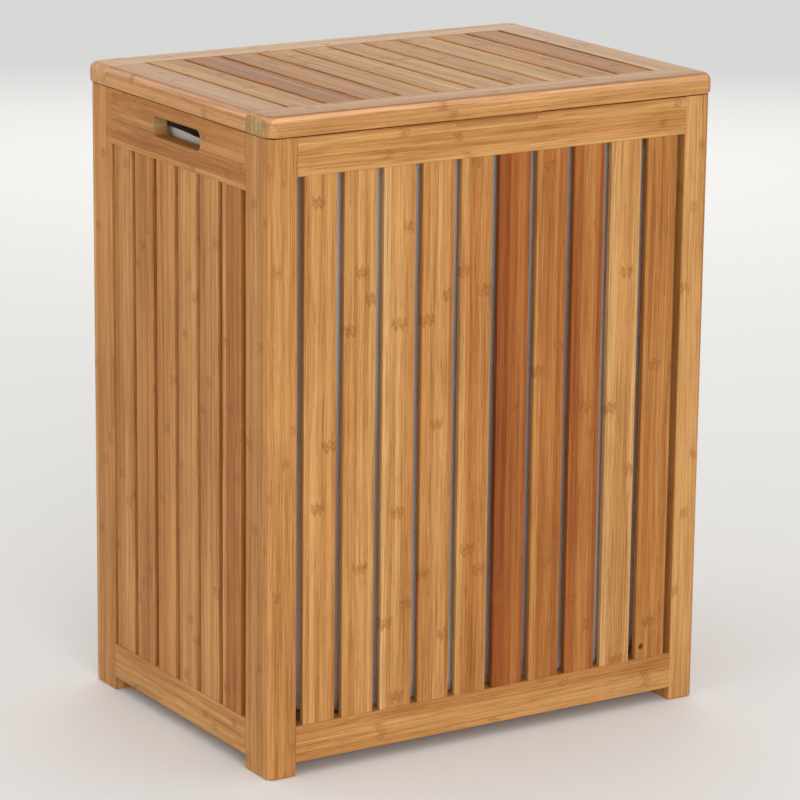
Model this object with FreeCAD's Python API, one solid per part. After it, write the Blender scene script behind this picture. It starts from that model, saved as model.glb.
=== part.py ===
import FreeCAD, Part
import math
import os

from FreeCAD import Vector

# Laundry hamper with a slatted, hinged lid, in laminated bamboo with a hanging cloth bag.
# Millimetres. X runs along the wide front, -Y is the front, +Z is up.
# The origin is on the floor, under the middle of the hamper.

# ---- body ----
body_width = 494.0
body_depth = 351.0
body_height = 614.3
post_width = 30.0            # seen from the front
post_depth = 44.0            # seen from the side
post_corner_radius = 8.0     # the outer upright corner of each post
post_edge_radius = 1.0
foot_edge_radius = 2.5
foot_height = 14.0           # floor to the underside of the bottom rails
rail_thickness = 16.0
rail_edge_radius = 0.8
bottom_rail_height = 36.0
top_rail_height = 36.6       # front and back
side_top_rail_height = 54.3  # left and right, tall enough for a hand hole

# ---- wall slats ----
slat_width = 34.6
slat_gap = 8.0
slat_thickness = 6.0
slat_recess = 1.0            # slat face behind the rail face
slat_edge_radius = 0.8
front_slat_count = 10
side_slat_count = 6
side_slat_back_gap = 4.6     # the side slats sit a little towards the back post
tongue_thickness = 3.0
tongue_length = 6.0
tongue_shoulder = 3.0        # left and right of each tongue

# ---- hand holes and finger scoop ----
hand_hole_length = 92.0
hand_hole_height = 19.5
hand_hole_radius = 7.0
hand_hole_top_margin = 13.0
scoop_length_top = 100.0
scoop_length_bottom = 80.5
scoop_height = 11.3
scoop_depth = 6.5            # at the rail's top edge
scoop_radius = 16.0          # the slope rounds back from the rail's face by this

# ---- lid ----
lid_gap = 1.2
lid_thickness = 19.5
lid_overhang = 3.0
lid_rail_width = 41.5
lid_stile_width = 43.0
lid_corner_radius = 14.0
lid_top_radius = 7.5
lid_bottom_radius = 2.0
lid_slat_count = 10
lid_slat_gap = 4.4
lid_slat_thickness = 8.0
lid_slat_recess = 0.3
lid_tongue_thickness = 4.0
lid_tongue_length = 7.0
lid_stile_shoulder = 4.0     # from the stile's inner edge to its tongue
bumper_radius = 4.5
bumper_thickness = 0.9

# ---- floor ----
cleat_width = 12.0
cleat_height = 12.0
cleat_bottom = 20.0
floor_slat_count = 7
floor_slat_width = 38.0
floor_slat_gap = 8.0
floor_slat_thickness = 8.0
floor_side_clearance = 0.5

# ---- bag ----
bag_half_width = 225.0
bag_half_depth = 157.5
bag_corner_radius = 105.0
bag_wall = 2.0
bag_bottom = 50.0
bag_top = 587.0
tape_length = 110.0
tape_height = 12.0
tape_lift = 0.8              # tape above the rail's lower edge
tape_thickness = 1.5
tape_offset = 120.0          # from the middle to each tape's centre

# ---- dowels ----
dowel_radius = 4.0
dowel_length = 34.0
dowel_spread = 7.0           # above and below the rail's middle

# ---- hinges ----
hinge_offset = 150.0
hinge_length = 50.0
knuckle_radius = 2.8
knuckle_gap = 0.4
knuckle_clearance = 0.4
pin_radius = 1.25
pin_clearance = 0.05
leaf_thickness = 1.2
leaf_reach = 13.5
leaf_spacing = 0.6           # between the two leaves when the lid is shut
screw_offsets = (-17.0, 0.0, 17.0)
screw_inset = 8.0            # from the hinge axis
screw_head_radius = 2.7
screw_shank_radius = 1.4
screw_length = 12.0
screw_tip_radius = 0.2

# ---- worked out ----
half_width = body_width / 2
half_depth = body_depth / 2
inner_x = half_width - rail_thickness
inner_y = half_depth - rail_thickness
opening_x = half_width - post_width
opening_y = half_depth - post_depth
bottom_rail_top = foot_height + bottom_rail_height
top_rail_bottom = body_height - top_rail_height
side_rail_bottom = body_height - side_top_rail_height
lid_bottom = body_height + lid_gap
lid_top = lid_bottom + lid_thickness
lid_half_x = half_width + lid_overhang
lid_half_y = half_depth + lid_overhang
slat_pitch = slat_width + slat_gap
axis_y = half_depth
axis_z = body_height + lid_gap / 2

MIRROR_X = Vector(1, 0, 0)
MIRROR_Y = Vector(0, 1, 0)
ORIGIN = Vector(0, 0, 0)
TOLERANCE = 0.01
OVERSHOOT = 1.0              # how far a cutting shape passes the face that it opens

nodes = {}


# ---------- helpers ----------

def block(x_range, y_range, z_range):
    """A box between three pairs of limits."""
    size = [high - low for low, high in (x_range, y_range, z_range)]
    corner = Vector(x_range[0], y_range[0], z_range[0])
    return Part.makeBox(size[0], size[1], size[2], corner)


def near(a, b):
    return abs(a - b) < TOLERANCE


def edges_where(shape, axis, **places):
    """Straight edges along one axis ('x', 'y' or 'z') whose other coordinates match places."""
    found = []
    for edge in shape.Edges:
        ends = [vertex.Point for vertex in edge.Vertexes]
        if len(ends) != 2:
            continue
        moved = [name for name in "xyz" if not near(getattr(ends[0], name), getattr(ends[1], name))]
        if moved != [axis]:
            continue
        if all(near(getattr(ends[0], name), value) for name, value in places.items()):
            found.append(edge)
    return found


def mirrored(shape, normal):
    return shape.mirror(ORIGIN, normal)


def group(solids):
    """Several separate solids kept together as one node."""
    return Part.Compound(list(solids))


def rounded_plate(half_x, half_y, radius, z_low, z_high):
    """An upright prism on a rectangle with round corners."""
    shape = block((-half_x, half_x), (-half_y, half_y), (z_low, z_high))
    corners = [edge for edge in shape.Edges if near(edge.Length, z_high - z_low)
               and not near(edge.Vertexes[0].Z, edge.Vertexes[1].Z)]
    return shape.makeFillet(radius, corners)


# ---------- posts ----------

def make_post():
    """The front left post, from the floor to the top of the body."""
    shape = block((-half_width, -opening_x), (-half_depth, -opening_y), (0, body_height))
    outer = edges_where(shape, "z", x=-half_width, y=-half_depth)
    shape = shape.makeFillet(post_corner_radius, outer)
    foot = [edge for edge in shape.Edges if near(edge.BoundBox.ZMax, 0)]
    shape = shape.makeFillet(foot_edge_radius, foot)
    inner = [edge for edge in edges_where(shape, "z")
             if near(edge.Vertexes[0].X, -opening_x) or near(edge.Vertexes[0].Y, -opening_y)]
    return shape.makeFillet(post_edge_radius, inner)


def add_posts(dowels):
    front_left = make_post()
    posts = {
        "post_front_left": front_left,
        "post_front_right": mirrored(front_left, MIRROR_X),
        "post_back_left": mirrored(front_left, MIRROR_Y),
        "post_back_right": mirrored(mirrored(front_left, MIRROR_X), MIRROR_Y),
    }
    for name, post in posts.items():
        nodes[name] = post.cut(dowels)


# ---------- dowels ----------

def dowel_heights():
    """Middle heights of a bottom rail, a front or back top rail, and a side top rail."""
    bottom = foot_height + bottom_rail_height / 2
    wide_top = body_height - top_rail_height / 2
    side_top = body_height - side_top_rail_height / 2
    return bottom, wide_top, side_top


def make_dowels():
    """Two dowels across each joint between a rail and a post."""
    bottom, wide_top, side_top = dowel_heights()
    middle = rail_thickness / 2
    solids = []
    for side in (-1, 1):
        for end in (-1, 1):
            for level in (bottom, wide_top):
                for lift in (-dowel_spread, dowel_spread):
                    start = Vector(end * opening_x - dowel_length / 2,
                                   side * (half_depth - middle), level + lift)
                    solids.append(Part.makeCylinder(dowel_radius, dowel_length, start, Vector(1, 0, 0)))
            for level in (bottom, side_top):
                for lift in (-dowel_spread, dowel_spread):
                    start = Vector(side * (half_width - middle),
                                   end * opening_y - dowel_length / 2, level + lift)
                    solids.append(Part.makeCylinder(dowel_radius, dowel_length, start, Vector(0, 1, 0)))
    return group(solids)


# ---------- wall slats ----------

def front_slat_starts():
    return [-opening_x + slat_gap + index * slat_pitch for index in range(front_slat_count)]


def side_slat_starts():
    """Front edge of each side slat, counted from the back post forwards."""
    first = opening_y - side_slat_back_gap - slat_width
    return [first - index * slat_pitch for index in range(side_slat_count)]


def make_front_slat(x_low, z_low, z_high):
    """A board of the front wall with a thin tongue at each end."""
    y_face = -half_depth + slat_recess
    y_back = y_face + slat_thickness
    board = block((x_low, x_low + slat_width), (y_face, y_back), (z_low, z_high))
    board = board.makeFillet(slat_edge_radius, edges_where(board, "z"))
    tongue_low = y_face + (slat_thickness - tongue_thickness) / 2
    tongue = block((x_low + tongue_shoulder, x_low + slat_width - tongue_shoulder),
                   (tongue_low, tongue_low + tongue_thickness),
                   (z_low - tongue_length, z_high + tongue_length))
    return board.fuse(tongue).removeSplitter()


def make_left_slat(y_low, z_low, z_high):
    """A board of the left wall with a thin tongue at each end."""
    x_face = -half_width + slat_recess
    x_back = x_face + slat_thickness
    board = block((x_face, x_back), (y_low, y_low + slat_width), (z_low, z_high))
    board = board.makeFillet(slat_edge_radius, edges_where(board, "z"))
    tongue_low = x_face + (slat_thickness - tongue_thickness) / 2
    tongue = block((tongue_low, tongue_low + tongue_thickness),
                   (y_low + tongue_shoulder, y_low + slat_width - tongue_shoulder),
                   (z_low - tongue_length, z_high + tongue_length))
    return board.fuse(tongue).removeSplitter()


def add_wall_slats():
    """Front, back, left and right slats; returns them by wall so the rails can be mortised."""
    front = [make_front_slat(x, bottom_rail_top, top_rail_bottom) for x in front_slat_starts()]
    back = [mirrored(slat, MIRROR_Y) for slat in front]
    left = [make_left_slat(y, bottom_rail_top, side_rail_bottom) for y in side_slat_starts()]
    right = [mirrored(slat, MIRROR_X) for slat in left]
    for index, slat in enumerate(front):
        nodes["front_slat_%02d" % (index + 1)] = slat
    for index in range(side_slat_count):
        nodes["left_slat_%d" % (index + 1)] = left[index]
        nodes["right_slat_%d" % (index + 1)] = right[index]
    nodes["back_slats"] = group(back)
    return {"front": group(front), "back": group(back), "left": group(left), "right": group(right)}


# ---------- rails ----------

def make_front_rail(z_low, z_high):
    shape = block((-opening_x, opening_x), (-half_depth, -inner_y), (z_low, z_high))
    return shape.makeFillet(rail_edge_radius, edges_where(shape, "x"))


def make_left_rail(z_low, z_high):
    shape = block((-half_width, -inner_x), (-opening_y, opening_y), (z_low, z_high))
    return shape.makeFillet(rail_edge_radius, edges_where(shape, "y"))


def make_scoop_cutter():
    """A slope with slanted ends, rounding back from the rail's face to its top edge."""
    foot_y, foot_z = -half_depth, body_height - scoop_height
    head_y = -half_depth + scoop_depth
    chord = math.hypot(scoop_depth, scoop_height)
    bulge = scoop_radius - math.sqrt(scoop_radius ** 2 - (chord / 2) ** 2)
    middle_y = (foot_y + head_y) / 2 - bulge * scoop_height / chord
    middle_z = foot_z + scoop_height / 2 + bulge * scoop_depth / chord
    start_x = -scoop_length_top
    foot = Vector(start_x, foot_y, foot_z)
    head = Vector(start_x, head_y, body_height)
    above = Vector(start_x, head_y, body_height + OVERSHOOT)
    front = Vector(start_x, foot_y - OVERSHOOT, body_height + OVERSHOOT)
    below = Vector(start_x, foot_y - OVERSHOOT, foot_z)
    slope = Part.Arc(foot, Vector(start_x, middle_y, middle_z), head).toShape()
    sides = ((head, above), (above, front), (front, below), (below, foot))
    edges = [slope] + [Part.makeLine(a, b) for a, b in sides]
    cove = Part.Face(Part.Wire(edges)).extrude(Vector(2 * scoop_length_top, 0, 0))
    slant = (scoop_length_top - scoop_length_bottom) / 2 / scoop_height
    reach = scoop_length_top / 2 + slant * scoop_depth
    outline = [
        Vector(-scoop_length_bottom / 2, 0, foot_z),
        Vector(scoop_length_bottom / 2, 0, foot_z),
        Vector(reach, 0, body_height + scoop_depth),
        Vector(-reach, 0, body_height + scoop_depth),
    ]
    face = Part.Face(Part.makePolygon(outline + [outline[0]]))
    face.translate(Vector(0, foot_y - 2 * OVERSHOOT, 0))
    ends = face.extrude(Vector(0, scoop_depth + 4 * OVERSHOOT, 0))
    return cove.common(ends)


def make_hand_hole_cutter():
    z_high = body_height - hand_hole_top_margin
    z_low = z_high - hand_hole_height
    half = hand_hole_length / 2
    shape = block((-half_width - OVERSHOOT, -inner_x + OVERSHOOT), (-half, half), (z_low, z_high))
    return shape.makeFillet(hand_hole_radius, edges_where(shape, "x"))


def soften_hand_hole(shape):
    """Round the two rims of the hand hole."""
    z_high = body_height - hand_hole_top_margin
    z_low = z_high - hand_hole_height
    half = hand_hole_length / 2
    rims = []
    for edge in shape.Edges:
        box = edge.BoundBox
        flat = near(box.XMin, box.XMax) and (near(box.XMin, -half_width) or near(box.XMin, -inner_x))
        inside = box.YMin > -half - OVERSHOOT and box.YMax < half + OVERSHOOT
        level = box.ZMin > z_low - OVERSHOOT and box.ZMax < z_high + OVERSHOOT
        if flat and inside and level:
            rims.append(edge)
    return shape.makeFillet(rail_edge_radius, rims)


def add_rails(slats, dowels, hinge_pockets):
    front_bottom = make_front_rail(foot_height, bottom_rail_top)
    front_top = make_front_rail(top_rail_bottom, body_height)
    left_bottom = make_left_rail(foot_height, bottom_rail_top)
    left_top = make_left_rail(side_rail_bottom, body_height)
    left_top = soften_hand_hole(left_top.cut(make_hand_hole_cutter()))
    rails = {
        "front_top_rail": (front_top.cut(make_scoop_cutter()), "front"),
        "front_bottom_rail": (front_bottom, "front"),
        "back_top_rail": (mirrored(front_top, MIRROR_Y).cut(hinge_pockets), "back"),
        "back_bottom_rail": (mirrored(front_bottom, MIRROR_Y), "back"),
        "left_top_rail": (left_top, "left"),
        "left_bottom_rail": (left_bottom, "left"),
        "right_top_rail": (mirrored(left_top, MIRROR_X), "right"),
        "right_bottom_rail": (mirrored(left_bottom, MIRROR_X), "right"),
    }
    for name, (rail, wall) in rails.items():
        nodes[name] = rail.cut(slats[wall]).cut(dowels)


# ---------- lid ----------

def lid_slat_width():
    span = 2 * (lid_half_x - lid_stile_width)
    return (span - (lid_slat_count + 1) * lid_slat_gap) / lid_slat_count


def make_lid_blank():
    """The lid's outline as one plate: round corners, a soft top edge and an eased bottom edge."""
    plate = rounded_plate(lid_half_x, lid_half_y, lid_corner_radius, lid_bottom, lid_top)
    top = [edge for edge in plate.Edges if near(edge.BoundBox.ZMin, lid_top)]
    plate = plate.makeFillet(lid_top_radius, top)
    bottom = [edge for edge in plate.Edges if near(edge.BoundBox.ZMax, lid_bottom)]
    return plate.makeFillet(lid_bottom_radius, bottom)


def make_lid_tongue(x_low, x_high):
    """The tongues of one front-to-back member, running into both lid rails."""
    middle = lid_top - lid_slat_recess - lid_slat_thickness / 2
    reach = lid_half_y - lid_rail_width + lid_tongue_length
    return block((x_low, x_high), (-reach, reach),
                 (middle - lid_tongue_thickness / 2, middle + lid_tongue_thickness / 2))


def add_lid(hinge_pockets):
    blank = make_lid_blank()
    reach_x = lid_half_x + OVERSHOOT
    reach_y = lid_half_y + OVERSHOOT
    rail_y = lid_half_y - lid_rail_width
    stile_x = lid_half_x - lid_stile_width
    height = (lid_bottom - OVERSHOOT, lid_top + OVERSHOOT)
    front_rail = blank.common(block((-reach_x, reach_x), (-reach_y, -rail_y), height))
    back_rail = mirrored(front_rail, MIRROR_Y)
    stile = blank.common(block((-reach_x, -stile_x), (-rail_y, rail_y), height))
    stile_tongue = make_lid_tongue(-lid_half_x + lid_corner_radius, -stile_x - lid_stile_shoulder)
    left_stile = stile.fuse(stile_tongue).removeSplitter()
    right_stile = mirrored(left_stile, MIRROR_X)

    width = lid_slat_width()
    top = lid_top - lid_slat_recess
    slats = []
    for index in range(lid_slat_count):
        x_low = -stile_x + lid_slat_gap + index * (width + lid_slat_gap)
        board = block((x_low, x_low + width), (-rail_y, rail_y), (top - lid_slat_thickness, top))
        board = board.makeFillet(slat_edge_radius, edges_where(board, "y"))
        tongue = make_lid_tongue(x_low + tongue_shoulder, x_low + width - tongue_shoulder)
        slats.append(board.fuse(tongue).removeSplitter())

    members = group(slats + [left_stile, right_stile])
    nodes["lid_front_rail"] = front_rail.cut(members)
    nodes["lid_back_rail"] = back_rail.cut(members).cut(hinge_pockets)
    nodes["lid_left_stile"] = left_stile
    nodes["lid_right_stile"] = right_stile
    for index, slat in enumerate(slats):
        nodes["lid_slat_%02d" % (index + 1)] = slat


def add_bumpers():
    """Thin discs under the lid's corners that land on the posts."""
    solids = []
    for x in (-half_width + post_width / 2, half_width - post_width / 2):
        for y in (-half_depth + post_depth / 2, half_depth - post_depth / 2):
            centre = Vector(x, y, lid_bottom - bumper_thickness)
            solids.append(Part.makeCylinder(bumper_radius, bumper_thickness, centre))
    nodes["lid_bumpers"] = group(solids)


# ---------- hinges ----------

def along_x(radius, x_low, x_high):
    """A cylinder on the hinge axis between two places along X."""
    return Part.makeCylinder(radius, x_high - x_low, Vector(x_low, axis_y, axis_z), Vector(1, 0, 0))


def knuckle_spans(centre):
    """The three knuckles of one hinge, from left to right."""
    length = (hinge_length - 2 * knuckle_gap) / 3
    start = centre - hinge_length / 2
    return [(start + index * (length + knuckle_gap), start + index * (length + knuckle_gap) + length)
            for index in range(3)]


def make_leaf(centre, z_range, own, other):
    """A leaf with its own knuckles, cut clear of the other leaf's."""
    plate = block((centre - hinge_length / 2, centre + hinge_length / 2),
                  (axis_y - leaf_reach, axis_y), z_range)
    clear = knuckle_radius + knuckle_clearance
    for x_low, x_high in other:
        plate = plate.cut(block((x_low - knuckle_gap, x_high + knuckle_gap),
                                (axis_y - clear, axis_y + clear), (axis_z - clear, axis_z + clear)))
    for x_low, x_high in own:
        plate = plate.fuse(along_x(knuckle_radius, x_low, x_high))
    bore = along_x(pin_radius + pin_clearance, centre - hinge_length, centre + hinge_length)
    return plate.removeSplitter().cut(bore)


def make_screw(x, top, direction):
    """A countersunk wood screw; direction is -1 down into the rail or +1 up into the lid."""
    y = axis_y - screw_inset
    point = Vector(0, 0, direction)
    head = Part.makeCone(screw_head_radius, screw_shank_radius, leaf_thickness, Vector(x, y, top), point)
    shank_start = top + direction * leaf_thickness
    shank_length = screw_length - 2 * leaf_thickness
    shank = Part.makeCylinder(screw_shank_radius, shank_length, Vector(x, y, shank_start), point)
    tip_start = shank_start + direction * shank_length
    tip = Part.makeCone(screw_shank_radius, screw_tip_radius, 2 * screw_shank_radius,
                        Vector(x, y, tip_start), point)
    return head.fuse(shank).fuse(tip).removeSplitter()


def add_hinges():
    """Two butt hinges; returns what must be cut from the body's and the lid's back rails."""
    body_leaves = []
    lid_leaves = []
    pins = []
    body_screws = []
    lid_screws = []
    body_pockets = []
    lid_pockets = []
    body_leaf_top = axis_z - leaf_spacing / 2
    lid_leaf_bottom = axis_z + leaf_spacing / 2
    body_z = (body_leaf_top - leaf_thickness, body_leaf_top)
    lid_z = (lid_leaf_bottom, lid_leaf_bottom + leaf_thickness)
    clear = knuckle_radius + knuckle_clearance
    for centre in (-hinge_offset, hinge_offset):
        left, middle, right = knuckle_spans(centre)
        for x in screw_offsets:
            body_screws.append(make_screw(centre + x, body_leaf_top, -1))
            lid_screws.append(make_screw(centre + x, lid_leaf_bottom, 1))
        body_leaf = make_leaf(centre, body_z, (left, right), (middle,))
        lid_leaf = make_leaf(centre, lid_z, (middle,), (left, right))
        body_leaves.append(body_leaf.cut(group(body_screws)))
        lid_leaves.append(lid_leaf.cut(group(lid_screws)))
        pins.append(along_x(pin_radius, centre - hinge_length / 2, centre + hinge_length / 2))
        x_range = (centre - hinge_length / 2, centre + hinge_length / 2)
        y_range = (axis_y - leaf_reach, axis_y + lid_overhang)
        barrel = along_x(clear, x_range[0] - knuckle_clearance, x_range[1] + knuckle_clearance)
        body_pockets += [block(x_range, y_range, (body_z[0], body_height + OVERSHOOT)), barrel]
        lid_pockets += [block(x_range, y_range, (lid_bottom - OVERSHOOT, lid_z[1])), barrel]
    nodes["hinge_body_leaves"] = group(body_leaves)
    nodes["hinge_lid_leaves"] = group(lid_leaves)
    nodes["hinge_pins"] = group(pins)
    nodes["hinge_body_screws"] = group(body_screws)
    nodes["hinge_lid_screws"] = group(lid_screws)
    return group(body_pockets + body_screws), group(lid_pockets + lid_screws)


# ---------- floor ----------

def add_floor():
    """Battens round the inside of the bottom rails, with loose slats laid on them."""
    cleat_top = cleat_bottom + cleat_height
    height = (cleat_bottom, cleat_top)
    front = block((-opening_x, opening_x), (-inner_y, -inner_y + cleat_width), height)
    side = block((-inner_x, -inner_x + cleat_width), (-opening_y, opening_y), height)
    nodes["floor_cleats"] = group([front, mirrored(front, MIRROR_Y), side, mirrored(side, MIRROR_X)])

    pitch = floor_slat_width + floor_slat_gap
    first = -(floor_slat_count * pitch - floor_slat_gap) / 2
    solids = []
    for index in range(floor_slat_count):
        y_low = first + index * pitch
        y_high = y_low + floor_slat_width
        beside_post = max(abs(y_low), abs(y_high)) > opening_y
        half_length = (opening_x if beside_post else inner_x) - floor_side_clearance
        slat = block((-half_length, half_length), (y_low, y_high),
                     (cleat_top, cleat_top + floor_slat_thickness))
        solids.append(slat.makeFillet(slat_edge_radius, edges_where(slat, "x")))
    nodes["floor_slats"] = group(solids)


# ---------- bag ----------

def add_bag():
    """The cloth bag as an open-topped shell, and the hook tapes that its rim presses on to."""
    outer = rounded_plate(bag_half_width, bag_half_depth, bag_corner_radius, bag_bottom, bag_top)
    inner = rounded_plate(bag_half_width - bag_wall, bag_half_depth - bag_wall,
                          bag_corner_radius - bag_wall, bag_bottom + bag_wall, bag_top + bag_wall)
    nodes["liner"] = outer.cut(inner)

    tapes = []
    tape_bottom = top_rail_bottom + tape_lift
    for x in (-tape_offset, tape_offset):
        tape = block((x - tape_length / 2, x + tape_length / 2), (-inner_y, -inner_y + tape_thickness),
                     (tape_bottom, tape_bottom + tape_height))
        tapes += [tape, mirrored(tape, MIRROR_Y)]
    nodes["liner_hook_tape"] = group(tapes)


# ---------- build ----------

def main():
    body_pockets, lid_pockets = add_hinges()
    dowels = make_dowels()
    nodes["rail_dowels"] = dowels
    slats = add_wall_slats()
    add_rails(slats, dowels, body_pockets)
    add_posts(dowels)
    add_lid(lid_pockets)
    add_bumpers()
    add_floor()
    add_bag()

    os.makedirs("parts", exist_ok=True)
    for name, shape in sorted(nodes.items()):
        shape.exportStep("parts/%s.step" % name)
        print("%-20s solids %2d  valid %s  volume %10.1f"
              % (name, len(shape.Solids), shape.isValid(), shape.Volume))
    print("nodes", len(nodes))


main()
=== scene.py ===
import math

import bmesh
import bpy
from mathutils import Euler, Matrix, Vector, noise


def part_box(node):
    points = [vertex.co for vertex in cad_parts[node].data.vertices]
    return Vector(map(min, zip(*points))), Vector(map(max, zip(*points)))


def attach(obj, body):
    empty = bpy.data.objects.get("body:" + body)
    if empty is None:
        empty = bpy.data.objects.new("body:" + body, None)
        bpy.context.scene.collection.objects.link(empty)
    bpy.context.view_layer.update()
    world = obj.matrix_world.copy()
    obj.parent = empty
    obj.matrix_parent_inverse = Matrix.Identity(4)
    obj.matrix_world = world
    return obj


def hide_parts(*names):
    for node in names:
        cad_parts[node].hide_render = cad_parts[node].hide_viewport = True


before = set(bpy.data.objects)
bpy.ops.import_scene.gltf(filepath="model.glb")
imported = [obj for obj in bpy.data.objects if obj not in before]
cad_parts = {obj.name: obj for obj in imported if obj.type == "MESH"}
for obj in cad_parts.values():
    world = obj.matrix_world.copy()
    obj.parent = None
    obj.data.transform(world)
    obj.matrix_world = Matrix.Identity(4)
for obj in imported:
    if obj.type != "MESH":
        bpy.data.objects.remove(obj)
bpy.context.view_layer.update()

MM = 0.001

# ---------- tones of the bamboo, as they look in plain light ----------

TONES = {
    "pale": (206, 160, 104),
    "straw": (199, 149, 90),
    "honey": (192, 139, 80),
    "tan": (185, 128, 69),
    "amber": (178, 119, 60),
    "copper": (168, 105, 50),
    "russet": (156, 90, 38),
    "umber": (144, 76, 28),
}

# Colour of a painted highlight on rounded upper edges that face partly up.
ROUNDOVER_HIGHLIGHT = (240, 184, 140)
# Colour of a painted highlight on faces cut across a board.
CUT_FACE_HIGHLIGHT = (255, 214, 160)
# Colour of painted light on slat sides seen in the gaps between lid slats.
GAP_SIDE_LIGHT = (255, 178, 104)

# The front wall's boards from the left: strips from a share of the width, then knuckles across and up.
FRONT_SLATS = [
    {"strips": [(0.0, "honey"), (0.2, "straw"), (0.4, "honey"), (0.84, "tan")],
     "knuckles": [(0.43, 0.94), (0.81, 0.51), (0.42, 0.4)]},
    {"strips": [(0.0, "honey"), (0.28, "tan"), (0.42, "straw"), (0.62, "honey"), (0.8, "straw")],
     "knuckles": [(0.55, 0.81), (0.88, 0.76), (0.2, 0.71), (0.55, 0.28)]},
    {"strips": [(0.0, "pale"), (0.2, "honey"), (0.45, "straw"), (0.62, "honey"), (0.86, "tan")],
     "knuckles": [(0.84, 0.88), (0.5, 0.71), (0.5, 0.37), (0.87, 0.2), (0.15, 0.17), (0.53, 0.03)]},
    {"strips": [(0.0, "tan"), (0.2, "honey"), (0.5, "straw"), (0.7, "honey"), (0.86, "amber")],
     "knuckles": [(0.85, 0.75), (0.15, 0.71), (0.52, 0.52), (0.1, 0.25), (0.85, 0.13)]},
    {"strips": [(0.0, "straw"), (0.18, "tan"), (0.3, "amber"), (0.62, "tan"), (0.84, "honey")],
     "knuckles": [(0.43, 0.98), (0.79, 0.75), (0.12, 0.79), (0.34, 0.28), (0.72, 0.24)]},
    {"strips": [(0.0, "umber"), (0.36, "russet"), (0.62, "copper"), (0.86, "russet")],
     "knuckles": [(0.15, 0.6), (0.59, 0.53), (0.15, 0.18)]},
    {"strips": [(0.0, "tan"), (0.22, "copper"), (0.45, "amber"), (0.7, "copper"), (0.85, "copper")],
     "knuckles": [(0.42, 0.96), (0.12, 0.59), (0.85, 0.63), (0.86, 0.1), (0.43, 0.23)]},
    {"strips": [(0.0, "russet"), (0.3, "amber"), (0.72, "copper"), (0.84, "russet")],
     "knuckles": [(0.87, 0.84), (0.48, 0.51), (0.84, 0.46), (0.14, 0.15), (0.83, 0.1)]},
    {"strips": [(0.0, "pale"), (0.24, "straw"), (0.44, "honey"), (0.74, "straw"), (0.9, "pale")],
     "knuckles": [(0.6, 0.75), (0.12, 0.5), (0.85, 0.38), (0.54, 0.02)]},
    {"strips": [(0.0, "amber"), (0.55, "tan"), (0.75, "amber"), (0.88, "tan")],
     "knuckles": [(0.4, 0.57), (0.44, 0.08)], "knot": (0.2, 0.035)},
]

# Left wall boards from the back post forwards; strips run from the front edge to the back.
SIDE_SLATS = [
    [(0.0, "honey"), (0.5, "tan"), (0.75, "amber")],
    [(0.0, "tan"), (0.3, "amber"), (0.7, "tan")],
    [(0.0, "honey"), (0.25, "tan"), (0.6, "amber")],
    [(0.0, "straw"), (0.25, "tan"), (0.5, "honey"), (0.8, "tan")],
    [(0.0, "honey"), (0.4, "honey"), (0.75, "tan")],
    [(0.0, "amber"), (0.3, "copper"), (0.8, "straw")],
]

LID_SLATS = [
    [(0.0, "straw"), (0.5, "honey"), (0.8, "straw")],
    [(0.0, "copper"), (0.45, "amber"), (0.8, "copper")],
    [(0.0, "tan"), (0.45, "honey"), (0.8, "tan")],
    [(0.0, "honey"), (0.45, "straw")],
    [(0.0, "straw"), (0.6, "pale")],
    [(0.0, "straw"), (0.7, "pale")],
    [(0.0, "honey"), (0.5, "straw")],
    [(0.0, "pale"), (0.4, "straw")],
    [(0.0, "honey"), (0.55, "tan"), (0.85, "straw")],
    [(0.0, "amber"), (0.35, "tan"), (0.75, "amber")],
]

X, Y, Z = 0, 1, 2

# The bag, in metres.
BAG_HALF_WIDTH = 0.225
BAG_HALF_DEPTH = 0.1575
BAG_RIM = 0.587
BAG_FLOOR = 0.050
BASE_BEND = 0.012
RIM_CORNER = 0.062
BASE_CORNER = 0.098
HEM_DEPTH = 0.024
HEM_GAP = 0.0026
CLOTH_THICKNESS = 0.0008
BAG_COLUMNS = 150
BAG_GIRTH = 1.42
SETTLING = 34


# ---------- shader helpers ----------

def linear(rgb):
    """A colour as seen, 0 to 255, in the shader's linear values."""
    values = []
    for channel in rgb:
        share = channel / 255
        values.append(share / 12.92 if share <= 0.04045 else ((share + 0.055) / 1.055) ** 2.4)
    return (*values, 1.0)


def feed(tree, socket, value):
    if isinstance(value, bpy.types.NodeSocket):
        tree.links.new(value, socket)
    else:
        socket.default_value = value


def add(tree, kind, inputs=None, **settings):
    """A shader node of that kind, with its settings and inputs given by name or number."""
    node = tree.nodes.new("ShaderNode" + kind)
    for name, value in settings.items():
        setattr(node, name, value)
    for key, value in (inputs or {}).items():
        feed(tree, node.inputs[key], value)
    return node


def maths(tree, operation, a, b=0.0, c=0.0, clamp=False):
    node = add(tree, "Math", {0: a, 1: b, 2: c}, operation=operation, use_clamp=clamp)
    return node.outputs[0]


def between(tree, value, low, high, to_low=0.0, to_high=1.0):
    """value's place from low to high, smoothed and clamped, as to_low to to_high."""
    node = add(tree, "MapRange", {"Value": value, "From Min": low, "From Max": high,
                                  "To Min": to_low, "To Max": to_high}, interpolation_type="SMOOTHSTEP")
    return node.outputs["Result"]


def mixed(tree, share, a, b, blend="MIX"):
    node = add(tree, "Mix", {0: share, 6: a, 7: b}, data_type="RGBA", blend_type=blend)
    return node.outputs[2]


def scaled(tree, vector, scale):
    return add(tree, "VectorMath", {0: vector, 1: scale}, operation="MULTIPLY").outputs[0]


def noise_of(tree, vector, scale, detail=2.0, roughness=0.5):
    """Smooth noise from 0 to 1 on a vector that is stretched by scale first."""
    place = scaled(tree, vector, scale)
    node = add(tree, "TexNoise", {"Vector": place, "Scale": 1.0, "Detail": detail, "Roughness": roughness})
    return node.outputs["Fac"]


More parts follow.
